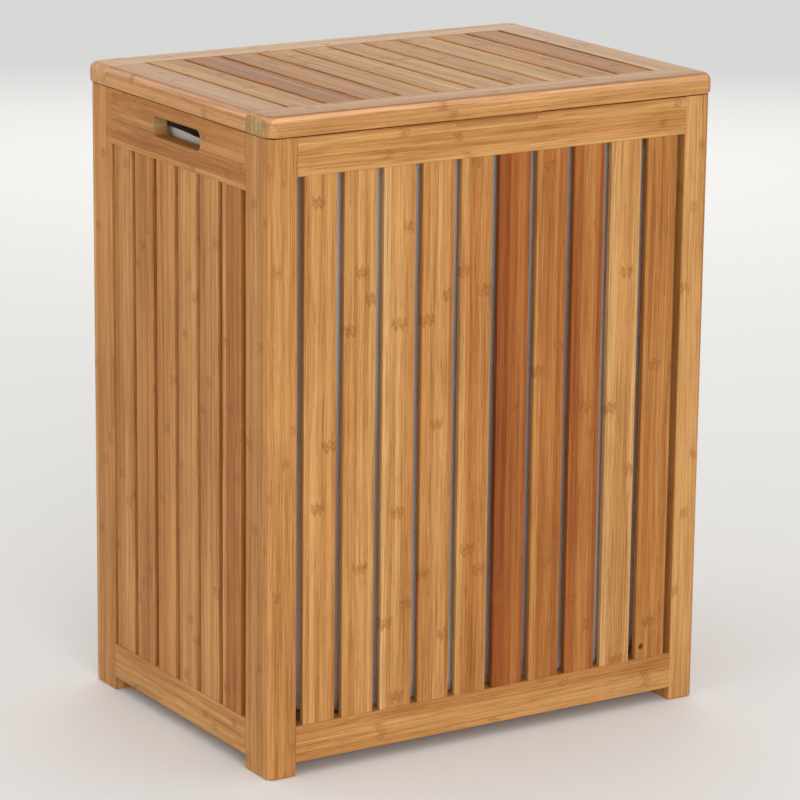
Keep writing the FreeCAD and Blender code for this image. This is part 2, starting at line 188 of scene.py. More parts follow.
def new_group(name, inputs, outputs):
    """An empty shader group with its named sockets, and its two end nodes."""
    tree = bpy.data.node_groups.new(name, "ShaderNodeTree")
    for label, kind in inputs:
        tree.interface.new_socket(name=label, in_out="INPUT", socket_type="NodeSocket" + kind)
    for label, kind in outputs:
        tree.interface.new_socket(name=label, in_out="OUTPUT", socket_type="NodeSocket" + kind)
    return tree, tree.nodes.new("NodeGroupInput").outputs, tree.nodes.new("NodeGroupOutput").inputs


def placed(tree, group, inputs):
    node = tree.nodes.new("ShaderNodeGroup")
    node.node_tree = group
    for key, value in inputs.items():
        feed(tree, node.inputs[key], value)
    return node.outputs


# ---------- shader groups for bamboo ----------
# Place is across the board, through its thickness and along its fibres, in metres.

def make_strip_group():
    """The glued strips of a board: a random value for each, and the thin glue lines between them."""
    tree, given, out = new_group(
        "bamboo_strips",
        [("Place", "Vector"), ("Seed", "Float"), ("Strip", "Float"), ("Layer", "Float")],
        [("Value", "Float"), ("Phase", "Float"), ("Seam", "Float")])
    place = add(tree, "SeparateXYZ", {0: given["Place"]}).outputs
    layer = maths(tree, "FLOOR", maths(tree, "DIVIDE", place[1], given["Layer"]))
    step = maths(tree, "MULTIPLY_ADD", layer, 5.37, maths(tree, "MULTIPLY", given["Seed"], 11.3))
    place_in_strips = maths(tree, "ADD", maths(tree, "DIVIDE", place[0], given["Strip"]), step)
    cell = add(tree, "TexVoronoi", {"W": place_in_strips, "Scale": 1.0, "Randomness": 0.6},
               voronoi_dimensions="1D")
    edge = add(tree, "TexVoronoi", {"W": place_in_strips, "Scale": 1.0, "Randomness": 0.6},
               voronoi_dimensions="1D", feature="DISTANCE_TO_EDGE")
    colour = add(tree, "SeparateColor", {0: cell.outputs["Color"]}).outputs
    feed(tree, out["Value"], colour[0])
    feed(tree, out["Phase"], colour[1])
    feed(tree, out["Seam"], between(tree, edge.outputs["Distance"], 0.0, 0.05, 1.0, 0.0))
    return tree


def make_knuckle_row_group():
    """Knuckles at even steps along each strip, at a height of the strip's own."""
    tree, given, out = new_group(
        "bamboo_knuckle_rows",
        [("Place", "Vector"), ("Phase", "Float"), ("Seed", "Float"), ("Spacing", "Float")],
        [("Mask", "Float")])
    place = add(tree, "SeparateXYZ", {0: given["Place"]}).outputs
    turn = maths(tree, "MULTIPLY_ADD", given["Seed"], 0.37, maths(tree, "MULTIPLY", given["Phase"], 3.1))
    steps = maths(tree, "ADD", maths(tree, "DIVIDE", place[2], given["Spacing"]), turn)
    off = maths(tree, "SUBTRACT", maths(tree, "FRACT", steps), 0.5)
    metres = maths(tree, "MULTIPLY", off, given["Spacing"])
    arc = noise_of(tree, given["Place"], (300, 300, 0), 1.0)
    bent = maths(tree, "MULTIPLY_ADD", maths(tree, "SUBTRACT", arc, 0.5), 0.01, metres)
    feed(tree, out["Mask"], between(tree, maths(tree, "ABSOLUTE", bent), 0.002, 0.0075, 1.0, 0.0))
    return tree


def make_knuckle_group():
    """One knuckle at a stated place, joined to any others before it."""
    tree, given, out = new_group(
        "bamboo_knuckle",
        [("Place", "Vector"), ("Across", "Float"), ("Along", "Float"), ("Reach", "Float"),
         ("Others", "Float")],
        [("Mask", "Float")])
    place = add(tree, "SeparateXYZ", {0: given["Place"]}).outputs
    across = maths(tree, "DIVIDE", maths(tree, "SUBTRACT", place[0], given["Across"]), given["Reach"])
    arch = maths(tree, "MULTIPLY", maths(tree, "COSINE", maths(tree, "MULTIPLY", across, 8.0)), 0.0018)
    along = maths(tree, "SUBTRACT", maths(tree, "SUBTRACT", place[2], given["Along"]), arch)
    ring = maths(tree, "DIVIDE", along, 0.0058)
    both = maths(tree, "ADD", maths(tree, "POWER", maths(tree, "ABSOLUTE", across), 4.0),
                 maths(tree, "POWER", maths(tree, "ABSOLUTE", ring), 3.0))
    own = between(tree, both, 0.3, 1.3, 1.0, 0.0)
    feed(tree, out["Mask"], maths(tree, "MAXIMUM", own, given["Others"]))
    return tree


def make_bamboo_group():
    """The look of varnished bamboo on a board whose tone, knuckles and seams are given."""
    tree, given, out = new_group(
        "bamboo_finish",
        [("Place", "Vector"), ("Normal", "Vector"), ("Seed", "Float"), ("Tone", "Color"),
         ("Knuckle", "Float"), ("Seam", "Float"), ("Grain", "Float"), ("End", "Float")],
        [("Color", "Color"), ("Roughness", "Float"), ("Height", "Float")])
    shift = add(tree, "CombineXYZ", {0: given["Seed"], 1: given["Seed"], 2: given["Seed"]}).outputs[0]
    shift = scaled(tree, shift, (0.731, 0.419, 1.377))
    place = add(tree, "VectorMath", {0: given["Place"], 1: shift}, operation="ADD").outputs[0]
    knuckle = given["Knuckle"]

    # Fibres wander a little along the board, and more at a knuckle.
    drift = maths(tree, "SUBTRACT", noise_of(tree, place, (18, 18, 6), 1.0), 0.5)
    swirl = maths(tree, "SUBTRACT", noise_of(tree, place, (260, 260, 260), 1.0), 0.5)
    push = maths(tree, "MULTIPLY_ADD", drift, 0.0045, maths(tree, "MULTIPLY", swirl,
                 maths(tree, "MULTIPLY_ADD", knuckle, 0.003, 0.0002)))
    wander = add(tree, "CombineXYZ", {0: push, 1: push, 2: 0.0}).outputs[0]
    fibre_place = add(tree, "VectorMath", {0: place, 1: wander}, operation="ADD").outputs[0]

    broad = noise_of(tree, fibre_place, (200, 200, 2.4), 2.0, 0.6)
    fine = noise_of(tree, fibre_place, (780, 780, 13.0), 3.0, 0.65)
    hair = noise_of(tree, fibre_place, (2400, 2400, 26.0), 1.0)
    dash = between(tree, noise_of(tree, fibre_place, (1050, 1050, 60.0), 1.0), 0.6, 0.74)
    cloud = noise_of(tree, place, (9, 9, 5), 2.0)
    speck = between(tree, noise_of(tree, place, (420, 420, 330), 2.0, 0.6), 0.42, 0.58)

    # Little arches side by side and one above the other, as the fibres end at a knuckle.
    axes = add(tree, "SeparateXYZ", {0: fibre_place}).outputs
    arch = maths(tree, "ABSOLUTE", maths(tree, "SINE", maths(tree, "MULTIPLY", axes[0], math.pi / 0.0031)))
    stacked = maths(tree, "MULTIPLY_ADD", arch, -1.1, maths(tree, "DIVIDE", axes[2], 0.0022))
    stacked = maths(tree, "MULTIPLY_ADD", noise_of(tree, place, (500, 500, 60), 1.0), 1.2, stacked)
    arches = maths(tree, "ABSOLUTE", maths(tree, "SUBTRACT", maths(tree, "FRACT", stacked), 0.5))
    arches = maths(tree, "MULTIPLY", between(tree, arches, 0.08, 0.34, 1.0, 0.0), speck)

    # One value from dark, 0, to light, 1.
    light = maths(tree, "MULTIPLY_ADD", maths(tree, "SUBTRACT", broad, 0.5), 1.7, 0.5)
    light = maths(tree, "MULTIPLY_ADD", maths(tree, "SUBTRACT", fine, 0.5), 2.0, light)
    light = maths(tree, "MULTIPLY_ADD", maths(tree, "SUBTRACT", hair, 0.5), 0.8, light)
    light = maths(tree, "MULTIPLY_ADD", maths(tree, "SUBTRACT", cloud, 0.5), 1.0, light)
    light = maths(tree, "MULTIPLY_ADD", dash, -0.36, light)
    light = maths(tree, "SUBTRACT", light, 0.5)
    light = maths(tree, "MULTIPLY_ADD", light, given["Grain"], 0.55, clamp=True)

    deep = mixed(tree, 1.0, given["Tone"], linear((206, 183, 150)), "MULTIPLY")
    pale = mixed(tree, 1.0, given["Tone"], (1.2, 1.23, 1.27, 1.0), "MULTIPLY")
    colour = mixed(tree, light, deep, pale)

    # Knuckles: dark spots in a band, with pale wood showing between them.
    band = mixed(tree, maths(tree, "MULTIPLY", knuckle, 0.32), colour, linear((160, 96, 40)))
    spots = maths(tree, "MULTIPLY", knuckle, arches)
    band = mixed(tree, maths(tree, "MULTIPLY", spots, 0.7), band, linear((112, 58, 18)))
    seam = maths(tree, "MULTIPLY", given["Seam"], 0.35)
    colour = mixed(tree, seam, band, linear((126, 70, 26)))

    # End grain: darker, greyer and dotted.
    facing = maths(tree, "ABSOLUTE", add(tree, "SeparateXYZ", {0: given["Normal"]}).outputs[2])
    end = between(tree, facing, 0.6, 0.92)
    layers = noise_of(tree, place, (230, 18, 0), 2.0, 0.6)
    end_light = maths(tree, "MULTIPLY_ADD", maths(tree, "SUBTRACT", fine, 0.5), 0.5, layers)
    end_colour = mixed(tree, between(tree, end_light, 0.3, 0.7), linear((146, 112, 68)),
                       linear((188, 158, 108)))
    colour = mixed(tree, maths(tree, "MULTIPLY", end, given["End"]), colour, end_colour)

    # Small pale chips where the varnish was knocked.
    chip_place = add(tree, "VectorMath", {0: place, 1: scaled(tree, wander, (0.3, 0.3, 0.3))},
                     operation="ADD").outputs[0]
    chip = add(tree, "TexVoronoi", {"Vector": chip_place, "Scale": 15.0, "Randomness": 1.0})
    ragged = maths(tree, "MULTIPLY_ADD", speck, 0.012, 0.004)
    chips = between(tree, maths(tree, "SUBTRACT", chip.outputs["Distance"], ragged), 0.0, 0.012, 1.0, 0.0)
    colour = mixed(tree, maths(tree, "MULTIPLY", chips, 0.4), colour, linear((226, 190, 138)))
    feed(tree, out["Color"], colour)

    rough = maths(tree, "MULTIPLY_ADD", fine, 0.14, 0.36)
    rough = maths(tree, "MULTIPLY_ADD", cloud, 0.1, rough)
    rough = maths(tree, "MULTIPLY_ADD", spots, 0.12, rough)
    rough = maths(tree, "MULTIPLY_ADD", end, 0.12, rough)
    feed(tree, out["Roughness"], maths(tree, "MULTIPLY_ADD", chips, 0.25, rough))

    height = maths(tree, "MULTIPLY", broad, 0.00005)
    height = maths(tree, "MULTIPLY_ADD", fine, 0.00003, height)
    height = maths(tree, "MULTIPLY_ADD", knuckle, 0.00008, height)
    height = maths(tree, "MULTIPLY_ADD", spots, -0.00006, height)
    height = maths(tree, "MULTIPLY_ADD", given["Seam"], -0.00003, height)
    feed(tree, out["Height"], maths(tree, "MULTIPLY_ADD", chips, -0.0001, height))
    return tree


def make_weave_group():
    """Plain weave: threads over and under each other, and a tone that differs from thread to thread, with
    painted shade where the weave dips.
    """
    tree, given, out = new_group("cotton_weave", [("Place", "Vector"), ("Thread", "Float")],
                                 [("Height", "Float"), ("Shade", "Float")])
    place = add(tree, "SeparateXYZ", {0: given["Place"]}).outputs
    across = maths(tree, "DIVIDE", place[0], given["Thread"])
    along = maths(tree, "DIVIDE", place[1], given["Thread"])
    count = maths(tree, "ADD", maths(tree, "FLOOR", across), maths(tree, "FLOOR", along))
    odd = maths(tree, "MULTIPLY", maths(tree, "FRACT", maths(tree, "MULTIPLY", count, 0.5)), 2.0)
    warp = maths(tree, "SINE", maths(tree, "MULTIPLY", maths(tree, "FRACT", across), math.pi))
    weft = maths(tree, "SINE", maths(tree, "MULTIPLY", maths(tree, "FRACT", along), math.pi))
    over = maths(tree, "MULTIPLY", warp, maths(tree, "MULTIPLY_ADD", weft, 0.45, 0.55))
    under = maths(tree, "MULTIPLY", weft, maths(tree, "MULTIPLY_ADD", warp, 0.45, 0.55))
    woven = maths(tree, "MULTIPLY_ADD", maths(tree, "SUBTRACT", over, under), odd, under)
    feed(tree, out["Height"], woven)
    long_threads = noise_of(tree, given["Place"], (700, 12, 1), 1.0)
    cross_threads = noise_of(tree, given["Place"], (12, 700, 1), 1.0)
    threads = maths(tree, "MULTIPLY", maths(tree, "ADD", long_threads, cross_threads), 0.5)
    # Thread-to-thread tone plus painted shade: the lower parts of the weave are darker.
    feed(tree, out["Shade"], maths(tree, "MULTIPLY_ADD", maths(tree, "SUBTRACT", woven, 0.6), 0.4, threads))
    return tree


STRIPS = make_strip_group()
KNUCKLE_ROWS = make_knuckle_row_group()
KNUCKLE = make_knuckle_group()
BAMBOO = make_bamboo_group()
WEAVE = make_weave_group()


# ---------- materials ----------

def new_material(name):
    material = bpy.data.materials.new(name)
    material.use_nodes = True
    tree = material.node_tree
    return material, tree, tree.nodes["Principled BSDF"]


def board_place(tree, centre, across, along):
    """Object coordinates from the board's centre, as across, through and along; and its normal so."""
    through = 3 - across - along
    coordinates = add(tree, "TexCoord")
    found = []
    for socket, origin in ((coordinates.outputs["Object"], centre),
                           (coordinates.outputs["Normal"], Vector((0, 0, 0)))):
        moved = add(tree, "VectorMath", {0: socket, 1: origin}, operation="SUBTRACT")
        part = add(tree, "SeparateXYZ", {0: moved.outputs[0]}).outputs
        turned = add(tree, "CombineXYZ", {0: part[across], 1: part[through], 2: part[along]})
        found.append(turned.outputs[0])
    return found


def finish_bamboo(tree, shader, place, normal, seed, tone, knuckle, seam, grain, gloss, end=0.8):
    """Joins the bamboo group to the shader, with a thin varnish."""
    look = placed(tree, BAMBOO, {"Place": place, "Normal": normal, "Seed": seed, "Tone": tone,
                                 "Knuckle": knuckle, "Seam": seam, "Grain": grain, "End": end})
    bump = add(tree, "Bump", {"Strength": 1.0, "Distance": 1.0, "Height": look["Height"]})
    feed(tree, shader.inputs["Base Color"], look["Color"])
    feed(tree, shader.inputs["Roughness"], look["Roughness"])
    feed(tree, shader.inputs["Normal"], bump.outputs[0])
    shader.inputs["Specular IOR Level"].default_value = gloss


def strip_ramp(tree, share, strips):
    """The tones of listed strips across a board, with short soft steps between them."""
    ramp = add(tree, "ValToRGB", {0: share})
    points = ramp.color_ramp.elements
    points[0].position = 0.0
    points[0].color = linear(TONES[strips[0][1]])
    points.remove(points[1])
    for index in range(1, len(strips)):
        start = strips[index][0]
        before = points.new(start - 0.015)
        before.color = linear(TONES[strips[index - 1][1]])
        after = points.new(start + 0.015)
        after.color = linear(TONES[strips[index][1]])
    return ramp.outputs["Color"]


def slat_bamboo(name, node, across, along, strips, knuckles, seed, knot=None, gloss=0.2, gap_side_light=0.0):
    """A board whose strips are listed, and its knuckles too unless they are None."""
    low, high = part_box(node)
    centre = (low + high) / 2
    size = high - low
    material, tree, shader = new_material(name)
    place, normal = board_place(tree, centre, across, along)
    part = add(tree, "SeparateXYZ", {0: place}).outputs
    wobble = maths(tree, "SUBTRACT", noise_of(tree, place, (3, 3, 5), 1.0), 0.5)
    shifted = maths(tree, "MULTIPLY_ADD", wobble, 0.0012, part[0])
    share = maths(tree, "MULTIPLY_ADD", shifted, 1 / size[across], 0.5)
    tone = strip_ramp(tree, share, strips)
    if knuckles is None:
        rows = placed(tree, STRIPS, {"Place": place, "Seed": seed, "Strip": 0.012, "Layer": 0.02})
        mask = placed(tree, KNUCKLE_ROWS, {"Place": place, "Phase": rows["Phase"], "Seed": seed,
                                           "Spacing": 0.34})["Mask"]
        mask = maths(tree, "MULTIPLY", mask, 0.8)
    else:
        mask = 0.0
        for number, (sideways, upwards) in enumerate(knuckles):
            mask = placed(tree, KNUCKLE, {
                "Place": place, "Across": (sideways - 0.5) * size[across],
                "Along": (upwards - 0.5) * size[along], "Reach": 0.0078 + 0.0014 * (number % 2),
                "Others": mask})["Mask"]
    if knot is not None:
        spot = Vector(((knot[0] - 0.5) * size[across], 0, (knot[1] - 0.5) * size[along]))
        flat = scaled(tree, place, (1, 0, 0.8))
        away = add(tree, "VectorMath", {0: flat, 1: Vector((spot.x, 0, spot.z * 0.8))},
                   operation="DISTANCE").outputs["Value"]
        ragged = maths(tree, "MULTIPLY_ADD", noise_of(tree, place, (500, 500, 500)), 0.0025, away)
        dark = between(tree, ragged, 0.0028, 0.0048, 0.85, 0.0)
        tone = mixed(tree, dark, tone, linear((40, 22, 12)))
    # Painted light: the sides facing across the board, seen in the gaps, are tinted bright orange as if lit.
    if gap_side_light:
        facing = maths(tree, "ABSOLUTE", add(tree, "SeparateXYZ", {0: normal}).outputs[0])
        tone = mixed(tree, between(tree, facing, 0.5, 0.9, 0.0, gap_side_light), tone, linear(GAP_SIDE_LIGHT))
    finish_bamboo(tree, shader, place, normal, seed, tone, mask, 0.0, 0.85, gloss)
    return material


def frame_bamboo(name, node, across, along, dark, light, seed, strip=0.009, layer=0.0105, gloss=0.2,
                 end=0.8, roundover_highlight=0.0, cut_face_highlight=0.0):
    """A post, rail or batten glued from strips, whose tones run between two of TONES.

    Its last two weights paint pale highlights: one on its rounded upper edges, as if they caught light from
    above, and one on the faces cut across it, as if they were brightly lit.
    """
    low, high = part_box(node)
    centre = (low + high) / 2
    material, tree, shader = new_material(name)
    place, normal = board_place(tree, centre, across, along)
    rows = placed(tree, STRIPS, {"Place": place, "Seed": seed, "Strip": strip, "Layer": layer})
    value = between(tree, rows["Value"], 0.1, 0.9)
    tone = mixed(tree, value, linear(TONES[dark]), linear(TONES[light]))
    facing = add(tree, "SeparateXYZ", {0: normal}).outputs
    # Painted highlight: the rounded upper edges, tilted partly upwards, are paled as if lit from above.
    if roundover_highlight:
        edge = maths(tree, "SUBTRACT", between(tree, facing[1], 0.02, 0.4), between(tree, facing[1], 0.75, 0.97))
        tone = mixed(tree, maths(tree, "MULTIPLY", edge, roundover_highlight), tone, linear(ROUNDOVER_HIGHLIGHT))
    # Painted highlight: faces cut across the board are paled as if brightly lit.
    if cut_face_highlight:
        cut = between(tree, maths(tree, "ABSOLUTE", facing[2]), 0.4, 0.8)
        tone = mixed(tree, maths(tree, "MULTIPLY", cut, cut_face_highlight), tone, linear(CUT_FACE_HIGHLIGHT))
    mask = placed(tree, KNUCKLE_ROWS, {"Place": place, "Phase": rows["Phase"], "Seed": seed,
                                       "Spacing": 0.31})["Mask"]
    mask = maths(tree, "MULTIPLY", mask, 0.8)
    finish_bamboo(tree, shader, place, normal, seed, tone, mask, rows["Seam"], 0.85, gloss, end)
    return material


def metal(name, colour, dark, roughness):
    """Brushed and slightly tarnished metal."""
    material, tree, shader = new_material(name)
    place = add(tree, "TexCoord").outputs["Object"]
    brushed = noise_of(tree, place, (150, 3000, 3000), 2.0)
    stain = between(tree, noise_of(tree, place, (160, 160, 160), 3.0, 0.6), 0.45, 0.75)
    feed(tree, shader.inputs["Base Color"], mixed(tree, stain, linear(colour), linear(dark)))
    rough = maths(tree, "MULTIPLY_ADD", brushed, 0.18, roughness)
    feed(tree, shader.inputs["Roughness"], maths(tree, "MULTIPLY_ADD", stain, 0.15, rough))
    height = maths(tree, "MULTIPLY", brushed, 0.00001)
    feed(tree, shader.inputs["Normal"], add(tree, "Bump", {"Distance": 1.0, "Height": height}).outputs[0])
    shader.inputs["Metallic"].default_value = 1.0
    return material


def plain_stuff(name, colour, other, roughness, scale, bump):
    """Rubber or woven tape: two close colours on a fine noise, with a matching bump."""
    material, tree, shader = new_material(name)
    place = add(tree, "TexCoord").outputs["Object"]
    grain = noise_of(tree, place, (scale, scale, scale), 2.0)
    feed(tree, shader.inputs["Base Color"], mixed(tree, grain, linear(colour), linear(other)))
    feed(tree, shader.inputs["Roughness"], maths(tree, "MULTIPLY_ADD", grain, 0.15, roughness))
    height = maths(tree, "MULTIPLY", grain, bump)
    feed(tree, shader.inputs["Normal"], add(tree, "Bump", {"Distance": 1.0, "Height": height}).outputs[0])
    return material


def wear(node, material):
    """Gives a CAD node that material."""
    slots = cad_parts[node].data.materials
    slots.clear()
    slots.append(material)


def finish_walls():
    for index, board in enumerate(FRONT_SLATS):
        node = "front_slat_%02d" % (index + 1)
        wear(node, slat_bamboo("bamboo_" + node, node, X, Z, board["strips"], board["knuckles"],
                               index + 1.0, board.get("knot")))
    for index, strips in enumerate(SIDE_SLATS):
        for side, turn in (("left", 0), ("right", 2)):
            node = "%s_slat_%d" % (side, index + 1)
            chosen = SIDE_SLATS[(index + turn) % len(SIDE_SLATS)]
            wear(node, slat_bamboo("bamboo_" + node, node, Y, Z, chosen, None, index + 21.0 + turn * 5))
    wear("back_slats", frame_bamboo("bamboo_back_slats", "back_slats", X, Z, "copper", "straw", 41.0,
                                    strip=0.013, layer=0.03))


def finish_frame():
    posts = {"post_front_left": (51.0, "honey"), "post_front_right": (53.0, "straw"),
             "post_back_left": (55.0, "straw"), "post_back_right": (58.0, "straw")}
    for node, (seed, light) in posts.items():
        wear(node, frame_bamboo("bamboo_" + node, node, X, Z, "tan", light, seed))
    rails = {"front_top_rail": (X, 61.0, "tan", "straw"), "front_bottom_rail": (X, 62.0, "tan", "straw"),
             "back_top_rail": (X, 63.0, "tan", "straw"), "back_bottom_rail": (X, 64.0, "tan", "straw"),
             "left_top_rail": (Y, 65.0, "amber", "honey"), "left_bottom_rail": (Y, 66.0, "honey", "straw"),
             "right_top_rail": (Y, 67.0, "amber", "honey"), "right_bottom_rail": (Y, 68.0, "honey", "straw")}
    for node, (along, seed, dark, light) in rails.items():
        # The finger scoop's slanted ends in the front rail get a painted pale highlight, as if brightly lit, and
        # no end-grain colour.
        cut = {"end": 0.0, "cut_face_highlight": 0.9} if node == "front_top_rail" else {}
        wear(node, frame_bamboo("bamboo_" + node, node, Z, along, dark, light, seed, **cut))


def finish_lid():
    for index, strips in enumerate(LID_SLATS):
        # Lid slats get painted light on their sides in the gaps.
        node = "lid_slat_%02d" % (index + 1)
        wear(node, slat_bamboo("bamboo_" + node, node, X, Y, strips, None, index + 71.0, gloss=0.1,
                               gap_side_light=0.4))
    members = {"lid_front_rail": (Y, X, 82.0, "tan", "straw", 0.32),
               "lid_back_rail": (Y, X, 83.0, "honey", "pale", 0.52),
               "lid_left_stile": (X, Y, 84.0, "tan", "honey", 0.56),
               "lid_right_stile": (X, Y, 85.0, "honey", "pale", 0.46)}
    for node, (across, along, seed, dark, light, gloss) in members.items():
        end = 0.15 if node == "lid_back_rail" else 0.8
        # Every lid member gets a painted highlight on its rounded upper edges.
        wear(node, frame_bamboo("bamboo_" + node, node, across, along, dark, light, seed, gloss=gloss, end=end,
                                roundover_highlight=0.6))


def finish_small_parts():
    wear("floor_slats", frame_bamboo("bamboo_floor_slats", "floor_slats", Y, X, "amber", "honey", 91.0))
    wear("floor_cleats", frame_bamboo("bamboo_floor_cleats", "floor_cleats", Y, X, "amber", "tan", 92.0))
    wear("rail_dowels", frame_bamboo("dowel_birch", "rail_dowels", Y, X, "straw", "pale", 93.0))
    brass = metal("hinge_brass", (205, 170, 100), (128, 92, 44), 0.26)
    for node in ("hinge_body_leaves", "hinge_lid_leaves", "hinge_pins"):
        wear(node, brass)
    steel = metal("screw_brass", (212, 178, 108), (120, 88, 44), 0.22)
    for node in ("hinge_body_screws", "hinge_lid_screws"):
        wear(node, steel)
    wear("lid_bumpers", plain_stuff("bumper_rubber", (196, 190, 178), (170, 164, 150), 0.5, 900, 0.00002))
    wear("liner_hook_tape", plain_stuff("hook_tape_nylon", (226, 222, 214), (188, 184, 176), 0.6,
                                        1400, 0.0003))


# ---------- cloth bag ----------

def around_bag(share, inset, radius):
    """The place at a share of the way round the bag, from the middle of its back, towards the left."""
    half_x, half_y = BAG_HALF_WIDTH - inset, BAG_HALF_DEPTH - inset
    radius = min(radius, half_x * 0.98, half_y * 0.98)
    flat_x, flat_y, bend = half_x - radius, half_y - radius, radius * math.pi / 2
    legs = (flat_x, bend, 2 * flat_y, bend, 2 * flat_x, bend, 2 * flat_y, bend, flat_x)
    left = share * sum(legs)
    place, ahead = Vector((0.0, half_y)), Vector((-1.0, 0.0))
    for number, leg in enumerate(legs):
        step = min(left, leg)
        left -= step
        if number % 2 == 0:
            place += ahead * step
            continue
        inward = Vector((-ahead.y, ahead.x))
        angle = step / radius
        place += (ahead * math.sin(angle) + inward * (1 - math.cos(angle))) * radius
        ahead = inward
        if left <= 0:
            break
    return place


def rim_wave(spot):
    """How far the rim rides up or down at the bag's sides, where no tape holds it."""
    return math.sin((spot.y - 0.019) * math.tau / 0.115) * 0.0011 if abs(spot.x) > 0.2 else 0.0


def bag_profile():
    """Height and inset of each ring of cloth: up inside the hem, over the rim, down and under."""
    fold = HEM_GAP / 2
    quarter = HEM_DEPTH / 4
    rings = [(BAG_RIM - HEM_DEPTH + quarter * step, HEM_GAP) for step in range(4)]
    for step in range(5):
        angle = math.pi * step / 4
        rings.append((BAG_RIM - fold + fold * math.sin(angle), fold + fold * math.cos(angle)))
    rings += [(BAG_RIM - quarter * step, 0.0) for step in range(1, 5)]
    held = len(rings)
    rows = 50
    drop = BAG_RIM - HEM_DEPTH - BAG_FLOOR - BASE_BEND
    rings += [(BAG_RIM - HEM_DEPTH - drop * step / rows, 0.0) for step in range(1, rows + 1)]
    for step in range(1, 4):
        angle = math.pi / 2 * step / 4
        rings.append((BAG_FLOOR + BASE_BEND * (1 - math.sin(angle)), BASE_BEND * (1 - math.cos(angle))))
    seam = len(rings)
    rings.append((BAG_FLOOR, BASE_BEND))
    rings += [(BAG_FLOOR, BASE_BEND + 0.0125 * step) for step in range(1, 12)]
    return rings, held, seam


def place_ring(ring, column, height, inset):
    """Sets a ring of cloth at its height; its corners are rounder lower down."""
    down = (BAG_RIM - height) / (BAG_RIM - BAG_FLOOR)
    radius = RIM_CORNER + (BASE_CORNER - RIM_CORNER) * down - inset
    for vertex in ring:
        spot = around_bag(vertex[column] / BAG_COLUMNS, inset, max(radius, 0.004))
        vertex.co = (spot.x, spot.y, height + rim_wave(spot) * max(0.0, 1 - down * 6))


def slack_corner(spot):
    """How far the bag falls inwards at its front left corner, more towards the floor."""
    near = max(0.0, 1 - (spot.xy - Vector((-BAG_HALF_WIDTH, -BAG_HALF_DEPTH))).length / 0.15)
    low = min(1.0, max(0.0, (0.36 - spot.z) / 0.16))
    return 0.03 * near * low


def sew_bag():
    """The bag's cloth in one piece before it hangs, its held vertices, and which faces are its base."""
    profile, held, seam = bag_profile()
    bm = bmesh.new()
    column = bm.verts.layers.int.new("column")
    row = bm.verts.layers.int.new("row")
    panel = bm.faces.layers.int.new("panel")
    uv = bm.loops.layers.uv.new("cloth")
    ring = bmesh.ops.create_circle(bm, segments=BAG_COLUMNS, radius=0.2)["verts"]
    for number, vertex in enumerate(ring):
        vertex[column] = number
    place_ring(ring, column, *profile[0])
    edges = list(bm.edges)
    for level in range(1, len(profile)):
        made = bmesh.ops.extrude_edge_only(bm, edges=edges)["geom"]
        ring = [part for part in made if isinstance(part, bmesh.types.BMVert)]
        new = set(ring)
        edges = [part for part in made if isinstance(part, bmesh.types.BMEdge) and set(part.verts) <= new]
        for vertex in ring:
            vertex[row] = level
        place_ring(ring, column, *profile[level])
    bmesh.ops.contextual_create(bm, geom=edges)
    travelled = [0.0]
    for before, now in zip(profile, profile[1:]):
        travelled.append(travelled[-1] + math.dist(before, now))
    for face in bm.faces:
        face.smooth = True
        face[panel] = int(min(vertex[row] for vertex in face.verts) >= seam)
        numbers = [vertex[column] for vertex in face.verts]
        wraps = len(numbers) == 4 and max(numbers) - min(numbers) > 1
        for loop in face.loops:
            number = loop.vert[column]
            if wraps and number == 0:
                number = BAG_COLUMNS
            if face[panel]:
                loop[uv].uv = loop.vert.co.xy
            else:
                loop[uv].uv = (number / BAG_COLUMNS * BAG_GIRTH, travelled[loop.vert[row]])
    for vertex in bm.verts:
        if vertex[row] > held and vertex[row] < seam + 2:
            spot = vertex.co
            sway = noise.noise(Vector((spot.x * 11, spot.y * 11, spot.z * 2.4 + 3.7)))
            away = Vector((spot.x, spot.y * 2, 0)).normalized()
            fold = noise.noise(Vector((spot.x * 30, spot.y * 30, spot.z * 3.1 + 8.3)))
            push = (sway * 0.006 + fold * 0.0045) * min(1.0, (vertex[row] - held) / 10)
            vertex.co = spot + away * (push - slack_corner(spot))
    bm.normal_update()
    middle = next(face for face in bm.faces if held + 5 < min(v[row] for v in face.verts) < held + 9)
    if middle.normal.dot(Vector((*middle.calc_center_median().xy, 0))) < 0:
        bmesh.ops.reverse_faces(bm, faces=bm.faces)
    bm.verts.index_update()
    pinned = [vertex.index for vertex in bm.verts if vertex[row] < held]
    mesh = bpy.data.meshes.new("bag_cloth")
    bm.to_mesh(mesh)
    bm.free()
    bag = bpy.data.objects.new("bag_cloth", mesh)
    bpy.context.scene.collection.objects.link(bag)
    return bag, pinned


def boards_round_bag():
    """A plain copy of the boards that the cloth can lean on."""
    bm = bmesh.new()
    for node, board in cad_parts.items():
        if node.startswith(("front_", "back_", "left_", "right_", "post_", "floor_slats")):
            bm.from_mesh(board.data)
    mesh = bpy.data.meshes.new("boards_round_bag")
    bm.to_mesh(mesh)
    bm.free()
    boards = bpy.data.objects.new("boards_round_bag", mesh)
    bpy.context.scene.collection.objects.link(boards)
    return boards


